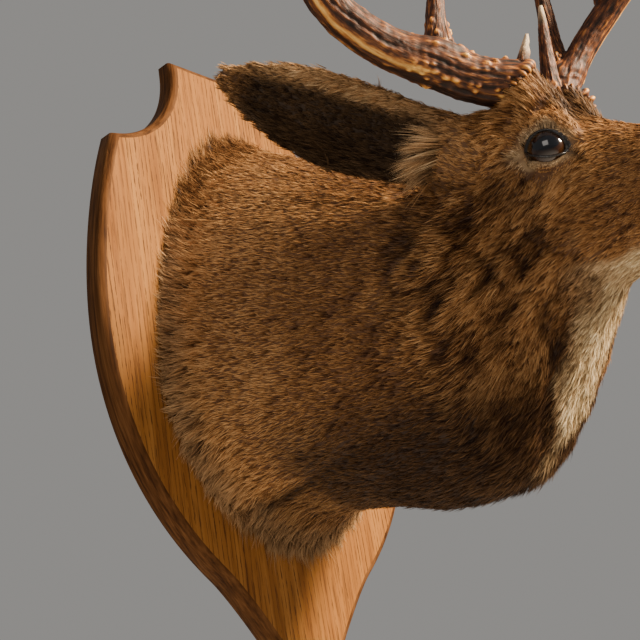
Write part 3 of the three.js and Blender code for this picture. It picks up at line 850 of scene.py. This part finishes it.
def coat_piece(name, seed, locks, per_lock, share, width, lift, mottle, bunch, lengths=hair_length, ways=lie,
               shade=None):
    """A piece of the coat: locks of blades rooted at random where share allows them."""
    def each(values):
        return np.repeat(values, per_lock, axis=0)

    def blended(values):
        return np.einsum("ij,ij...->i...", corner_shares, values)

    # Where the locks stand, how long they are and how steeply they rise.
    dice = np.random.default_rng(seed)
    weight = triangle_area * share(triangle_middle, triangle_ear, triangle_cup)
    steps = (np.arange(locks) + dice.random(locks)) / locks
    chosen = np.minimum(np.searchsorted(np.cumsum(weight / weight.sum()), steps), len(triangles) - 1)
    a, b = np.sqrt(dice.random(locks)), dice.random(locks)
    corner_shares = np.column_stack([1 - a, a * (1 - b), a * b])
    place = blended(corner_places[chosen])
    normal = unit(blended(hide_normals[triangle_corners[chosen]]))
    uv = blended(triangle_uv[chosen])
    ear = blended(ear_share[triangle_corners[chosen]])
    cup = blended(cup_share[triangle_corners[chosen]])
    way = ways(place, normal, ear, cup)
    across = np.cross(way, normal)
    collar = ramp(place[:, 1], -0.075, -0.045) * (1 - ear)
    cheek = on_cheek(place, ear)
    length = lengths(place, ear, cup) * dice.uniform(0.85, 1.1, locks)
    length *= 1 + collar * (0.25 * np.clip(dice.normal(0, 1, locks), -2, 1) + 0.50 * noise3(place, 0.011, 35))
    stand = lift(place) * (1 + 0.45 * cheek * folds(place)) + dice.normal(0, 0.05, locks) + 0.35 * cup

    # The blades of each lock, spread over a disc and drawn together at their tips.
    count = locks * per_lock
    size = each(bunch * (1 + 30 * length))[:, None]
    disc, reach = dice.uniform(0, 2 * math.pi, count)[:, None], np.sqrt(dice.random((count, 1)))
    offset = size * reach * (np.cos(disc) * each(across) + np.sin(disc) * each(way))
    roots = each(place) + offset - each(normal) * 0.0005
    keep = (bare(roots) < dice.random(count) * 0.8 + 0.1) & (roots[:, 1] < hair_stop)
    way_each = unit(each(way + dice.normal(0, 0.05, (locks, 3))) + dice.normal(0, 0.07, (count, 3)))
    length_each = each(length) * dice.uniform(0.7, 1.15, count)
    lifts = np.clip(each(stand) + dice.normal(0, 0.08, count), 0.04, 1.4)
    sway = each(across * dice.normal(0, 0.09, locks)[:, None])
    pull = 0.5 + np.maximum(0.48 * collar, 0.35 * cheek)
    drawn = -each(pull)[:, None] * offset + sway * length_each[:, None]

    # Their colours.
    pale, dark, grey = markings_and_painted_light(roots, each(ear), each(cup))
    if shade:
        pale, dark = np.clip(shade[0] + each(dice.normal(0, 0.12, locks)), 0, 1), np.full(count, shade[1])
    tones = 0.5 + each((mottle + 0.08 * cheek) * dice.normal(0, 1, locks)) + dice.normal(0, 0.09, count)
    # painted shade: darker still in the ear cups
    tones += each(blade_tones(place, ear, cup, collar)) - 0.25 * each(cup) * dark
    channels = [values[keep] for values in (pale, dark, grey, np.clip(tones, 0, 1))]
    widths = width * dice.uniform(0.7, 1.2, count)
    rolls = dice.normal(0, 0.5, count)
    return blades(name, roots[keep], way_each[keep], each(normal)[keep], length_each[keep], widths[keep],
                  lifts[keep], rolls[keep], drawn[keep], each(uv)[keep], channels)


def even(value):
    """The same lift or length everywhere."""
    return lambda points, *shares: np.full(len(points), value)


def on_neck(points, ear, cup):
    return ramp(head_frame(points)[0], -40, -75) * (1 - ramp(ear, 0.3, 0.6))


def on_collar(points, ear, cup):
    return ramp(points[:, 1], -0.085, -0.050) * (1 - ear)


def on_head(points, ear, cup):
    f = head_frame(points)[0]
    dense = 1 + 1.3 * ramp(f, 20, 120) + 1.5 * (1 - ramp(eye_range(points), 20, 34))
    return ramp(f, -85, -50) * dense * (1 - ramp(ear, 0.3, 0.6)) * (1 - nose_share(points))


def on_ears(points, ear, cup):
    return ramp(ear, 0.2, 0.5)


def neck_lift(points):
    return 0.17 + 0.40 * ramp(points[:, 1], -0.065, -0.030) + 0.15 * ramp(-points[:, 1], 0.22, 0.30)


def head_lift(points):
    return 0.20 + 0.10 * ramp(-head_frame(points)[0], -10, 40)


def ear_fan(points, ear, cup):
    """Where the long pale hair of the ear's mouth is rooted: a ridge across its base, and the upper rim."""
    down, way = ear_down(points), ear_along(points)
    ridge = hump((way, 0.14, 0.05)) * ramp(down, -16, 4) * ramp(-down, -30, -16)
    rim = hump((down, -25, 5)) * ramp(way, 0.25, 0.35) * ramp(-way, -0.9, -0.75)
    return ramp(cup, 0.1, 0.4) * (2.2 * ridge + 0.7 * rim)


def fan_length(points, ear, cup):
    return 0.012 + (0.015 + 0.008 * noise3(points, 0.007, 33)) * hump((ear_along(points), 0.15, 0.09))


def fan_lie(points, normals, ear, cup):
    down, way = ear_down(points)[:, None] / 22, ear_along(points)[:, None]
    spread = np.where(way < 0.3, 0.65 + 0.7 * down, 0.35)
    stray = noise3(points, 0.006, 34)[:, None]
    fanned = (spread + 0.35 * stray) * ear_fold(points)
    return unit(ear_axis(points) + fanned + 0.10 * sided(ear_open, points))


def on_muzzle(points, ear, cup):
    """Where the whiskers are rooted: the sides of the upper lip and the chin."""
    f, l, u = head_frame(points)
    upper = ramp(f, 138, 146) * ramp(-f, -184, -174) * ramp(np.abs(l), 10, 16)
    return upper * ramp(-np.abs(u + 60), -14, -7) + 0.5 * ramp(f, 150, 158) * ramp(-u, 84, 90)


coat_pieces = []
for number in range(3):
    coat_pieces.append(coat_piece(f"coat_neck_{number + 1}", seed=100 + number, locks=30000, per_lock=2,
                                  share=on_neck, width=0.00066, lift=neck_lift, mottle=0.07, bunch=0.0006))
coat_pieces.append(coat_piece("coat_collar", seed=120, locks=3900, per_lock=13,
                              share=on_collar, width=0.00075, lift=neck_lift, mottle=0.12, bunch=0.0030))
for number in range(3):
    coat_pieces.append(coat_piece(f"coat_head_{number + 1}", seed=200 + number, locks=12500, per_lock=5,
                                  share=on_head, width=0.00060, lift=head_lift, mottle=0.07, bunch=0.0016))
coat_pieces.append(coat_piece("coat_ears", seed=300, locks=7500, per_lock=8,
                              share=on_ears, width=0.0006, lift=even(0.20), mottle=0.08, bunch=0.0018))
coat_pieces.append(coat_piece("coat_ear_fans", seed=301, locks=560, per_lock=7,
                              share=ear_fan, width=0.00045, lift=even(0.20), mottle=0.20, bunch=0.0024,
                              lengths=fan_length, ways=fan_lie, shade=(0.20, 0)))
coat_pieces.append(coat_piece("whiskers", seed=302, locks=64, per_lock=1,
                              share=on_muzzle, width=0.00034, lift=even(0.95), mottle=0, bunch=0.001,
                              lengths=even(0.030), shade=(0, 1)))


def coat_colour_group():
    """Hair colour from the markings and painted shade: dark at the root, brown along it and tan at its tip."""
    group = bpy.data.node_groups.new("coat_colour", "ShaderNodeTree")
    for label in ("Pale", "Dark", "Along", "Grey", "Tone"):
        group.interface.new_socket(label, in_out="INPUT", socket_type="NodeSocketFloat")
    group.interface.new_socket("Color", in_out="OUTPUT", socket_type="NodeSocketColor")
    given = add(group, "NodeGroupInput").outputs
    place = sums(group, "SUBTRACT", sums(group, "MULTIPLY_ADD", given["Tone"], 1.2, given["Along"]), 0.60)
    brown = gradient(group, place, [(0.0, (0.040, 0.015, 0.006)), (0.35, (0.155, 0.064, 0.020)),
                                    (0.75, (0.40, 0.190, 0.066)), (1.0, (0.56, 0.305, 0.125))])
    dusky = gradient(group, place, [(0.0, (0.005, 0.002, 0.001)), (0.6, (0.016, 0.007, 0.003)),
                                    (1.0, (0.055, 0.026, 0.010))])
    taupe = gradient(group, place, [(0.0, (0.035, 0.020, 0.011)), (0.5, (0.16, 0.094, 0.046)),
                                    (1.0, (0.33, 0.205, 0.105))])
    cream = gradient(group, place, [(0.0, (0.20, 0.12, 0.055)), (0.55, (0.58, 0.43, 0.24)),
                                    (1.0, (0.82, 0.69, 0.47))])
    coat = mixed(group, given["Grey"], mixed(group, given["Dark"], brown, dusky), taupe)
    add(group, "NodeGroupOutput", {0: mixed(group, given["Pale"], coat, cream)})
    return group


coat_colour = coat_colour_group()


def coat_paint(tree):
    """The coat's colour at each place, from a piece's own attributes."""
    marks, tones = channels_of(tree, "coat"), channels_of(tree, "tone")
    values = {"Pale": marks[0], "Dark": marks[1], "Along": marks[2], "Grey": tones[0], "Tone": tones[1]}
    return add(tree, "ShaderNodeGroup", values, node_tree=coat_colour).outputs[0]


coat_hair, tree, shader = node_material("coat_hair")
feed(tree, shader, {"Base Color": coat_paint(tree), "Roughness": 0.50, "Specular IOR Level": 0.08})
for piece in coat_pieces:
    piece.data.materials.append(coat_hair)

# The hide under the hair has the hair's colours, and a moist black pebbled leather where no hair grows.
pale, dark, grey = markings_and_painted_light(hide_points, ear_share, cup_share)
put_colours(hide.data, "coat", [pale, dark, np.full(len(hide_points), 0.42)])
put_colours(hide.data, "tone", [grey, np.full(len(hide_points), 0.35), bare(hide_points)])
hide_skin, tree, shader = node_material("hide_skin")
bareness = channels_of(tree, "tone")[2]
pebbles = add(tree, "ShaderNodeTexVoronoi", {"Vector": object_place(tree), "Scale": 620}).outputs["Distance"]
leather = gradient(tree, pebbles, [(0.1, (0.020, 0.017, 0.016)), (0.7, (0.006, 0.005, 0.005))])
dome = sums(tree, "MULTIPLY", sums(tree, "SUBTRACT", 1.0, sums(tree, "POWER", pebbles, 2.0)), bareness)
feed(tree, shader, {"Base Color": mixed(tree, bareness, coat_paint(tree), leather),
                    "Roughness": remapped(tree, bareness, 0, 1, 0.85, 0.30),
                    "Normal": bumped(tree, dome, 0.7, 0.0005)})
hide.data.materials.clear()
hide.data.materials.append(hide_skin)

# ---------------------------------------------------------------------------------------------------------
# Eyes: taxidermist's glass eyes, dark brown with a wide level pupil under a clear dome. Each sits in a moist
# black rim of lid, with lashes on the upper one.
# ---------------------------------------------------------------------------------------------------------
def solid_object(name, form, material):
    """A smooth piece from a bmesh, riding on the mount."""
    mesh = bpy.data.meshes.new(name)
    form.to_mesh(mesh)
    form.free()
    smooth_shaded(mesh)
    mesh.materials.append(material)
    made = new_object(name, mesh)
    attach(made, "root")
    return made


def from_middle(tree, look, wide, tall):
    """How far from its middle a place on the eyeball's front is, with its two directions weighed."""
    parts = [sums(tree, "MULTIPLY", sums(tree, "MULTIPLY", look[axis], look[axis]), weight)
             for axis, weight in enumerate((wide, tall))]
    return sums(tree, "SQRT", sums(tree, "ADD", *parts))


eye_glass, tree, shader = node_material("eye_glass")
look = add(tree, "ShaderNodeSeparateXYZ", {0: attribute(tree, "look")["Vector"]}).outputs
turned = add(tree, "ShaderNodeCombineXYZ", {0: sums(tree, "ARCTAN2", look[1], look[0])}).outputs[0]
rays = sums(tree, "MULTIPLY_ADD", noise(tree, turned, 34, 3.0, 0.7), 0.30, from_middle(tree, look, 1, 1))
iris = gradient(tree, rays, [(0.35, (0.006, 0.003, 0.002)), (0.72, (0.016, 0.006, 0.003)),
                             (0.92, (0.036, 0.014, 0.005)), (1.0, (0.004, 0.003, 0.002))])
pupil = gradient(tree, from_middle(tree, look, 2.6, 8.0), [(0.94, (1, 1, 1)), (1.0, (0, 0, 0))])
feed(tree, shader, {"Base Color": mixed(tree, pupil, iris, (0.002, 0.0025, 0.005, 1)), "Roughness": 0.20,
                    "Specular IOR Level": 0.10, "Coat Weight": 1.0, "Coat Roughness": 0.02})

lid_skin, tree, shader = node_material("lid_skin")
mottled = noise(tree, object_place(tree), 900, 2.0)
wrinkles = noise(tree, object_place(tree), 1500, 2.0)
feed(tree, shader, {"Base Color": gradient(tree, mottled, [(0.3, (0.006, 0.005, 0.005)),
                                                           (0.7, (0.022, 0.017, 0.015))]),
                    "Roughness": 0.22, "Normal": bumped(tree, wrinkles, 0.5, 0.0003)})

dome_rise, rim_thickness = 0.0009, 0.0010
lid_tuck = 0.5            # how far the rim's middle lies inside the lid's edge, in mm
lash_count, lash_length, lash_width = 44, (0.007, 0.010), 0.00035


def bulged(part, power):
    return np.sign(part) * np.abs(part) ** (2 / power)


for side in eye_place:
    axes = eye_axes(side)
    ball = bmesh.new()
    bmesh.ops.create_uvsphere(ball, u_segments=48, v_segments=32, radius=eye_radius)
    gaze_layer = ball.verts.layers.float_vector.new("look")
    for vertex in ball.verts:
        across, over, out = vertex.co / eye_radius
        vertex[gaze_layer] = (across, over, out)
        vertex.co *= 1 + dome_rise / eye_radius * ramp(out, 0.45, 0.95)
    turn = Matrix((axes[1], axes[2], axes[0])).transposed()
    bmesh.ops.transform(ball, matrix=Matrix.Translation(eye_place[side]) @ turn.to_4x4(), verts=ball.verts)
    if turn.determinant() < 0:
        bmesh.ops.reverse_faces(ball, faces=ball.faces)
    eyeball = solid_object(f"eyeball_{side}", ball, eye_glass)
    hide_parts(eye_nodes[side])

    turns = np.linspace(0, 2 * math.pi, 73)[:-1]
    across = lid_length * bulged(np.cos(turns), lid_fullness)
    height = np.where(np.sin(turns) > 0, lid_rise, lid_drop)
    over = height * bulged(np.sin(turns), lid_bow) - lid_slant * across
    out = np.sqrt(np.maximum((lid_reach - lid_tuck) ** 2 - across ** 2 - over ** 2, 4))
    edge = np.array(eye_place[side]) + np.column_stack([out, across, over]) @ axes / 1000
    tube = bmesh.new()
    loops = []
    for place, before, after in zip(edge, np.roll(edge, 1, axis=0), np.roll(edge, -1, axis=0)):
        along = Vector(after - before).normalized()
        ring = bmesh.ops.create_circle(tube, segments=8, radius=rim_thickness)["verts"]
        spin = along.to_track_quat("Z", "Y").to_matrix().to_4x4()
        bmesh.ops.transform(tube, matrix=Matrix.Translation(place) @ spin, verts=ring)
        loops.append(list({e for v in ring for e in v.link_edges}))
    for here, after in zip(loops, loops[1:] + loops[:1]):
        bmesh.ops.bridge_loops(tube, edges=here + after)
    bmesh.ops.recalc_face_normals(tube, faces=tube.faces)
    solid_object(f"lid_rim_{side}", tube, lid_skin)

    dice = np.random.default_rng(60)
    rooted = dice.choice(np.flatnonzero(np.sin(turns) > 0.12), lash_count)
    roots = edge[rooted] + dice.normal(0, 0.0003, (lash_count, 3))
    fanned = (across[rooted] / lid_length)[:, None]
    ways = unit(0.9 * axes[0] + 0.55 * fanned * axes[1] + dice.uniform(0.0, 0.3, (lash_count, 1)) * axes[2])
    upward = unit(np.cross(np.cross(ways, axes[2]), ways))
    nearest = [np.square(triangle_middle - root).sum(axis=1).argmin() for root in roots]
    plain = np.zeros(lash_count)
    lengths = dice.uniform(*lash_length, lash_count)
    lashes = blades(f"lashes_{side}", roots, ways, upward, lengths, plain + lash_width, plain + 0.45, plain,
                    np.zeros((lash_count, 3)), triangle_uv[nearest].mean(axis=1),
                    (plain, plain + 1, plain, plain + 0.2))
    lashes.data.materials.append(coat_hair)

# ---------------------------------------------------------------------------------------------------------
# Antlers: hard bone stained reddish umber, polished amber on its ridges and pearls and ivory at its tips.
# Each stands on a haired pedicle behind a coarse burr, three tines on a beam that sweeps out and forward.
# ---------------------------------------------------------------------------------------------------------
antler_parts = ("base", "brow_tine", "beam_lower", "second_tine", "beam_middle", "third_tine", "beam_tip")
antler_voxel, antler_swell = 0.0012, 0.0004
beam_line = [(-40, -371, 117), (-60, -352, 124), (-85, -336, 137), (-115, -318, 151), (-142, -306, 167),
             (-165, -298, 189), (-188, -302, 223), (-205, -322, 262), (-212, -362, 296), (-205, -412, 318),
             (-185, -462, 330), (-155, -505, 340), (-125, -530, 352)]      # in mm, the right side's
beam_radii = [20, 19.5, 19, 17, 16, 15.5, 15, 13.5, 13, 10.5, 8.5, 6, 2.2]
tine_rises = {2: [(0, 0, 0), (0, -3, 34), (4, -9, 72), (10, -18, 114)],    # from that place on the beam
              6: [(0, 0, 0), (-8, 6, 54), (-4, 2, 122), (13, -9, 198)],
              8: [(0, 0, 0), (-6, 4, 46), (0, -3, 106), (16, -14, 166)]}
tine_radii = [11, 8, 5, 2.2]
left_tine_scale = 0.96
spur_line, spur_radii = [(-37, -377, 124), (-30, -387, 159)], [7.5, 1.6]
beam_number, spur_number = 0, 4
burr_middle, burr_normal = (-40, -371, 117), (-0.63, 0.37, 0.68)
ridge_way = np.array([-0.68, -0.08, -0.74])      # the side of the beam that its ridge runs along
pearl_count = 240
flute_waves = ((5, 1.3, 33), (9, 2.1, 21), (14, 0.7, 13), (21, 1.7, 9))    # round the beam, drift and reach


def smooth_line(points, steps=10):
    """Places along a Catmull-Rom curve through the points."""
    points = np.array(points, float)
    ends = np.concatenate([[2 * points[0] - points[1]], points, [2 * points[-1] - points[-2]]])
    t = np.linspace(0, 1, steps, endpoint=False)[:, None]
    spans = [b + 0.5 * t * (c - a + t * (2 * a - 5 * b + 4 * c - d + t * (3 * (b - c) + d - a)))
             for a, b, c, d in zip(ends, ends[1:], ends[2:], ends[3:])]
    return np.concatenate(spans + [points[-1:]])


def antler_places(points, lines):
    """For places in mm: the branch each is on, its way along it, its share of it and its angle round it."""
    best = np.full(len(points), np.inf)
    found = np.zeros((len(points), 4))
    for number, (line, radius, way) in enumerate(lines):
        gaps = np.linalg.norm(points[:, None] - line[None], axis=2)
        nearest = gaps.argmin(axis=1)
        run = np.concatenate([[0], np.cumsum(np.linalg.norm(np.diff(line, axis=0), axis=1))])
        tangent = unit(np.gradient(line, axis=0))
        level = unit(way - tangent * (tangent @ way)[:, None])
        third = np.cross(tangent, level)
        spoke = points - line[nearest]
        angle = np.arctan2(dots(spoke, third[nearest]), dots(spoke, level[nearest]))
        along = run[nearest] + dots(spoke, tangent[nearest])
        gap = gaps.min(axis=1) - np.interp(nearest, np.linspace(0, len(line) - 1, len(radius)), radius)
        closer = gap < best
        best = np.where(closer, gap, best)
        found[closer] = np.column_stack([np.full(len(points), number), along, along / run[-1], angle])[closer]
    return found.T


bone, tree, shader = node_material("antler_bone")
relief, ivory, shadow = channels_of(tree, "bone")[:3]
fibres = noise(tree, attribute(tree, "fibre")["Vector"], 1.0, 4.0, 0.6)
height = sums(tree, "MULTIPLY_ADD", sums(tree, "SUBTRACT", fibres, 0.5), 1.1, relief)
umber = gradient(tree, height, [(0.22, (0.008, 0.004, 0.003)), (0.40, (0.045, 0.014, 0.005)),
                                (0.55, (0.135, 0.042, 0.012)), (0.74, (0.46, 0.180, 0.034)),
                                (1.0, (0.80, 0.45, 0.12))])
worn_pale = gradient(tree, height, [(0.2, (0.30, 0.19, 0.10)), (0.6, (0.66, 0.53, 0.36))])
coloured = mixed(tree, shadow, mixed(tree, ivory, umber, worn_pale), (0.016, 0.009, 0.007, 1))
fine = noise(tree, object_place(tree), 700, 3.0, 0.6)
feed(tree, shader, {"Base Color": coloured,
                    "Roughness": remapped(tree, height, 0.2, 0.9, 0.66, 0.42),
                    "Normal": bumped(tree, fibres, 0.9, 0.0010, bumped(tree, fine, 0.35, 0.0003)),
                    "Specular IOR Level": 0.30})

for side, sign in (("right", 1), ("left", -1)):
    nodes = [f"antler_{side}_{part}" for part in antler_parts]
    antler = fused(f"antler_{side}", nodes, antler_swell, antler_voxel, 16)
    mirror = np.array([sign, 1, 1])
    dice = np.random.default_rng(40 + sign)
    lines = [(smooth_line(beam_line) * mirror, beam_radii, ridge_way * mirror)]
    scale = 1 if side == "right" else left_tine_scale
    for fork, rise in tine_rises.items():
        tine_line = [np.array(beam_line[fork]) + scale * np.array(step) for step in rise]
        lines.append((smooth_line(tine_line) * mirror, tine_radii, ridge_way * mirror))
    if side == "right":
        lines.append((smooth_line(spur_line, 12), spur_radii, ridge_way))
    places = points_of(antler.data) * 1000
    normals = normals_of(antler.data)
    branch, along, share, angle = antler_places(places, lines)
    on_beam, on_spur = branch == beam_number, branch == spur_number
    size = np.clip(1 - share, 0.1, 1)

    # Flutes, a ridge, wrinkles near the burr, and pearls crowded on the ridge's side and the far one.
    flutes = sum(np.sin(count * angle + drift * np.sin(along / reach + drift) + drift)
                 for count, drift, reach in flute_waves) / 2.4
    rough = noise3(places / 1000, 0.009, 61)
    wrinkle = np.sin(along / 2.4 + 3 * np.sin(2 * angle) + 2 * noise3(places / 1000, 0.02, 7))
    height = size ** 0.6 * (0.55 * flutes + 0.32 * rough) + 0.16 * wrinkle * ramp(along, 90, 20) * on_beam
    ridge = hump((angle, 0, 0.20)) * ramp(along, 62, 85) * ramp(share, 0.97, 0.85)
    pearled = np.flatnonzero((on_beam & (along > 4) & (along < 118) & (dice.random(len(places)) < 0.5))
                             | (~on_beam & (along > 15) & (along < 42)))
    off_ridge = np.abs(angle[pearled])
    crowded = dice.random(len(pearled)) < 0.20 + 0.80 * ((off_ridge > 1.9) | (off_ridge < 0.3))
    seeds = dice.choice(pearled[crowded], pearl_count, replace=False)
    pearls = np.zeros(len(places))
    for seed in seeds:
        spoke = places - places[seed]
        rise = dice.uniform(1.1, 2.6) * ramp(along[seed], 128, 60)
        reach = dice.uniform(1.1, 2.2)
        run = (along - along[seed]) / 1.7
        gap = np.sqrt(np.maximum(dots(spoke, spoke) - (along - along[seed]) ** 2, 0) + run ** 2)
        pearls = np.maximum(pearls, rise * np.exp(-(gap / reach) ** 2.6))

    # The burr's knobs, and the webs of bone where the tines leave the beam.
    burr_axis = unit(np.array([burr_normal]) * mirror)[0]
    from_burr = places - np.array(burr_middle) * mirror
    off_plane = from_burr @ burr_axis
    flat = from_burr - off_plane[:, None] * burr_axis
    around = np.arctan2(flat @ np.cross(burr_axis, (0, 0, 1)), flat[:, 2])
    knobs = 0.5 + 0.5 * np.sin(21 * around + 1.5 * np.sin(3 * around))
    burr = hump((off_plane, 0, 5)) * ramp(np.linalg.norm(flat, axis=1), 15, 20) * ~on_spur
    height = height * (1 - 0.6 * ridge) + 1.5 * ridge + pearls + burr * (2.0 * knobs - 0.6)
    web = np.zeros(len(places))
    for fork, rise in tine_rises.items():
        spoke = places - np.array(beam_line[fork]) * mirror
        away = np.maximum(np.linalg.norm(spoke, axis=1), 0.01)
        above = spoke @ unit(np.array([rise[1]]) * mirror)[0] / away
        web += 3.0 * hump((away, 1.15 * beam_radii[fork], 9)) * ramp(above, 0.2, 0.6)
    tip = ramp(share, 0.80, 0.985)
    height = height * (1 - 0.8 * tip) * np.where(on_spur, 0.35, 1)
    set_points(antler.data, (places + normals * (height + web)[:, None]) / 1000)

    # What the bone's colour follows: relief, ivory tips, the shaded underside and fibres along each branch.
    pale_ends = np.maximum(tip, 0.9 * ramp(share, 0.3, 0.8) * on_spur)
    painted_shade_below = hump((angle, -0.55 * sign, 0.60)) * ramp(along, 190, 60) * on_beam * (1 - np.clip(pearls, 0, 1))
    raised = np.clip(0.44 + 0.20 * height + 0.22 * ridge, 0, 1)
    put_colours(antler.data, "bone", [raised, pale_ends, 0.8 * painted_shade_below])
    girth = 14 * size
    fibre = np.column_stack([girth * np.cos(angle), girth * np.sin(angle), along / 9 + 40 * branch]) * 0.60
    fibre_layer = antler.data.attributes.new("fibre", "FLOAT_VECTOR", "POINT")
    fibre_layer.data.foreach_set("vector", fibre.astype(np.float32).ravel())
    smooth_shaded(antler.data)
    antler.data.materials.clear()
    antler.data.materials.append(bone)
    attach(antler, "root")
    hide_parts(*nodes)

# ---------------------------------------------------------------------------------------------------------
# Stage and light: a plain floor well below the mount, a warm key lamp high in front on the animal's left,
# and a broad weak fill on its right.
# ---------------------------------------------------------------------------------------------------------
floor_drop = 1.3     # below the board's foot
floor_half_width = 300
floor_mesh = bpy.data.meshes.new("floor")
floor_form = bmesh.new()
bmesh.ops.create_grid(floor_form, x_segments=1, y_segments=1, size=floor_half_width)
floor_form.to_mesh(floor_mesh)
floor_form.free()
floor = new_object("floor", floor_mesh)
floor.location.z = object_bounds()[0].z - floor_drop
world = bpy.data.worlds.new("studio")
world.use_nodes = True
feed(world.node_tree, world.node_tree.nodes["Background"], {"Color": (1.0, 0.97, 0.93, 1), "Strength": 0.28})
scene.world = world


def softbox(name, place, aim, width, watts, colour):
    lamp = bpy.data.lights.new(name, "AREA")
    lamp.shape, lamp.size, lamp.energy, lamp.color = "SQUARE", width, watts, colour
    made = new_object(name, lamp)
    made.location = place
    made.rotation_euler = (Vector(aim) - Vector(place)).to_track_quat("-Z", "Y").to_euler()


softbox("key", place=(0.85, -2.15, 1.05), aim=(0, -0.20, -0.02), width=0.5, watts=290,
        colour=(1.0, 0.83, 0.61))
softbox("fill", place=(-2.3, -1.3, 1.0), aim=(0, -0.15, 0.0), width=1.2, watts=18,
        colour=(1.0, 0.92, 0.84))
